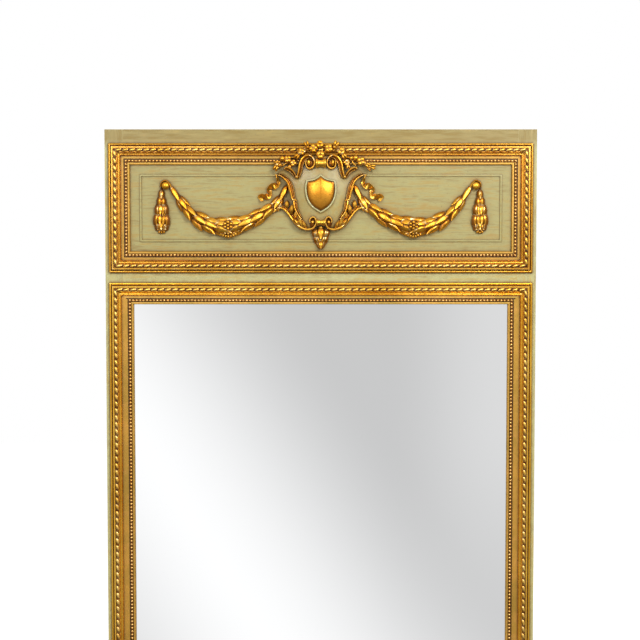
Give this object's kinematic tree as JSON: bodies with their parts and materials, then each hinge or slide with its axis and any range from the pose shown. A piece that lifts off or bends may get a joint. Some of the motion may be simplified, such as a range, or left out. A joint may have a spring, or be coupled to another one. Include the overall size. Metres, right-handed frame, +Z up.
{
  "type": "pier mirror",
  "caption": "Tall wall mirror in a painted timber frame, with gilt rope and pearl mouldings and a carved panel of a cartouche and garlands above the plate.",
  "frame": {"origin": "centre of the bottom face of the bottom rail, midway through the timber", "axes": "+Z up, -Y out of the mirror towards the viewer, +X to the viewer's right"},
  "size_m": [1.035, 0.0713, 1.7835],
  "materials": {
    "green_paint": "old sage-green paint on softwood, satin, worn and yellowed towards the edges",
    "gilding": "gold leaf over carved wood and composition, rubbed on the high places and brown in the recesses",
    "gold_wash": "dull gold wash over a painted slip",
    "mirror_glass": "silvered glass plate",
    "raw_wood": "bare aged pine",
    "steel": "plain zinc-dull steel"
  },
  "bodies": {
    "frame": {"left_stile": "green_paint", "right_stile": "green_paint", "top_rail": "green_paint", "middle_rail": "green_paint", "bottom_rail": "green_paint", "joint_pegs": "raw_wood", "upper_panel": "green_paint", "panel_fillet": "green_paint", "panel_battens": "raw_wood", "panel_moulding_top": "gilding", "panel_moulding_bottom": "gilding", "panel_moulding_left": "gilding", "panel_moulding_right": "gilding", "mirror_moulding_top": "gilding", "mirror_moulding_bottom": "gilding", "mirror_moulding_left": "gilding", "mirror_moulding_right": "gilding", "panel_slip_top": "gold_wash", "panel_slip_bottom": "gold_wash", "panel_slip_left": "gold_wash", "panel_slip_right": "gold_wash", "mirror_slip_top": "gold_wash", "mirror_slip_bottom": "gold_wash", "mirror_slip_left": "gold_wash", "mirror_slip_right": "gold_wash", "panel_rope": "gilding", "mirror_rope": "gilding", "panel_pearls": "gilding", "mirror_pearls": "gilding", "cartouche_field": "green_paint", "cartouche_scroll_left": "gilding", "cartouche_scroll_right": "gilding", "top_spool": "gilding", "bottom_spool": "gilding", "shield_rim": "green_paint", "shield": "gilding", "crest_roses": "gilding", "left_rose_spray": "gilding", "right_rose_spray": "gilding", "left_acanthus": "gilding", "right_acanthus": "gilding", "left_ribbon": "gilding", "right_ribbon": "gilding", "pendant_bud": "gilding", "left_garland": "gilding", "right_garland": "gilding", "garland_knobs": "gilding", "left_drop": "gilding", "right_drop": "gilding", "mirror_plate": "mirror_glass", "glass_blocks": "raw_wood", "backboard_1": "raw_wood", "backboard_2": "raw_wood", "backboard_3": "raw_wood", "backboard_4": "raw_wood", "back_screws": "steel", "left_hanger_strap": "steel", "right_hanger_strap": "steel"},
    "left_ring": {"left_hanging_ring": "steel"},
    "right_ring": {"right_hanging_ring": "steel"}
  },
  "joints": [
    {"name": "left_ring_swing", "type": "hinge", "parent": "frame", "child": "left_ring", "pos_m": [-0.49525, 0.019, 1.3835], "axis": [1, 0, 0], "range_deg": [0, 180]},
    {"name": "right_ring_swing", "type": "hinge", "parent": "frame", "child": "right_ring", "pos_m": [0.49525, 0.019, 1.3835], "axis": [1, 0, 0], "range_deg": [0, 180]}
  ]
}
